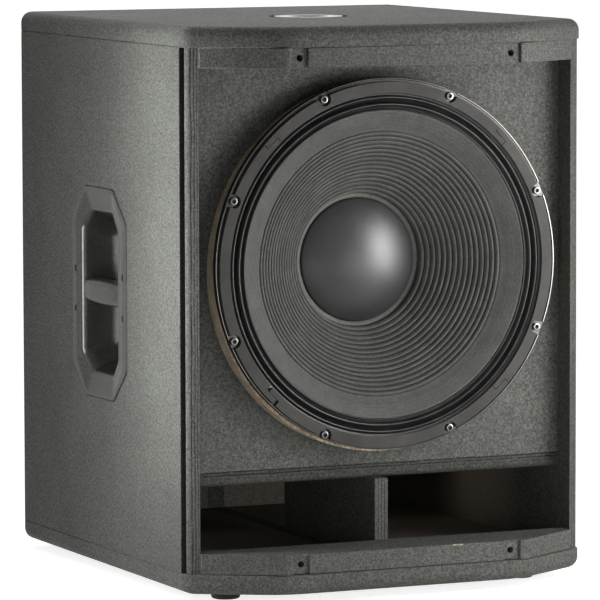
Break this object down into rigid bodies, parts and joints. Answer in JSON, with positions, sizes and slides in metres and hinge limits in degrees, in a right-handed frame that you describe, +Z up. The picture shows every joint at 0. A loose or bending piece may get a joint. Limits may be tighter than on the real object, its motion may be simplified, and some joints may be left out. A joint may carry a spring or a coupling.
{
  "type": "subwoofer cabinet",
  "caption": "Passive subwoofer cabinet with a large exposed driver, slot ports under it, recessed side handles and a pole socket on top.",
  "frame": {"origin": "centre of the footprint at floor level, under the feet", "axes": "+X to the right seen from the front, -Y out of the front baffle, +Z up"},
  "size_m": [0.536, 0.603, 0.694],
  "materials": {
    "painted_wood": "fine textured dark paint over plywood",
    "bare_wood": "raw plywood",
    "rubber": "matte",
    "plastic": "satin moulded",
    "paper": "pressed paper pulp",
    "cloth": "coated cloth",
    "spider_cloth": "resin-dipped cloth",
    "gasket": "matte foam",
    "cast_aluminium": "bare casting",
    "bright_steel": "bright plated",
    "dark_steel": "dark plated",
    "copper": "enamelled wire on a former",
    "ferrite": "dull ceramic"
  },
  "bodies": {
    "cabinet": {"baffle": "painted_wood", "bottom_panel": "painted_wood", "cross_brace": "bare_wood", "driver_bolt_1": "bright_steel", "driver_bolt_2": "bright_steel", "driver_bolt_3": "bright_steel", "driver_bolt_4": "bright_steel", "driver_bolt_5": "bright_steel", "driver_bolt_6": "bright_steel", "driver_bolt_7": "bright_steel", "driver_bolt_8": "bright_steel", "driver_frame": "cast_aluminium", "front_left_foot": "rubber", "front_right_foot": "rubber", "gasket_quarter_1": "gasket", "gasket_quarter_2": "gasket", "gasket_quarter_3": "gasket", "gasket_quarter_4": "gasket", "input_panel": "plastic", "input_panel_screw_1": "dark_steel", "input_panel_screw_2": "dark_steel", "input_panel_screw_3": "dark_steel", "input_panel_screw_4": "dark_steel", "left_handle": "plastic", "left_handle_screw_1": "dark_steel", "left_handle_screw_2": "dark_steel", "left_handle_screw_3": "dark_steel", "left_handle_screw_4": "dark_steel", "left_side_panel": "painted_wood", "lower_grille_batten": "painted_wood", "magnet": "ferrite", "pole_piece": "dark_steel", "pole_socket": "bright_steel", "pole_socket_screw_1": "dark_steel", "pole_socket_screw_2": "dark_steel", "pole_socket_screw_3": "dark_steel", "pole_socket_screw_4": "dark_steel", "port_divider": "painted_wood", "port_shelf": "painted_wood", "rear_left_foot": "rubber", "rear_panel": "painted_wood", "rear_right_foot": "rubber", "right_handle": "plastic", "right_handle_screw_1": "dark_steel", "right_handle_screw_2": "dark_steel", "right_handle_screw_3": "dark_steel", "right_handle_screw_4": "dark_steel", "right_side_panel": "painted_wood", "spacer_ring": "bare_wood", "speaker_lead": "rubber", "speaker_socket_1": "plastic", "speaker_socket_2": "plastic", "spider": "spider_cloth", "surround": "cloth", "top_panel": "painted_wood", "top_plate": "dark_steel", "upper_grille_batten": "painted_wood"},
    "cone_assembly": {"cone": "paper", "dust_cap": "paper", "voice_coil": "copper"}
  },
  "joints": [
    {"name": "cone_travel", "type": "slide", "parent": "cabinet", "child": "cone_assembly", "axis": [0, 1, 0], "range_m": [-0.009, 0.009], "stiffness_N_per_m": 9700, "deforming": ["surround", "spider"]}
  ]
}
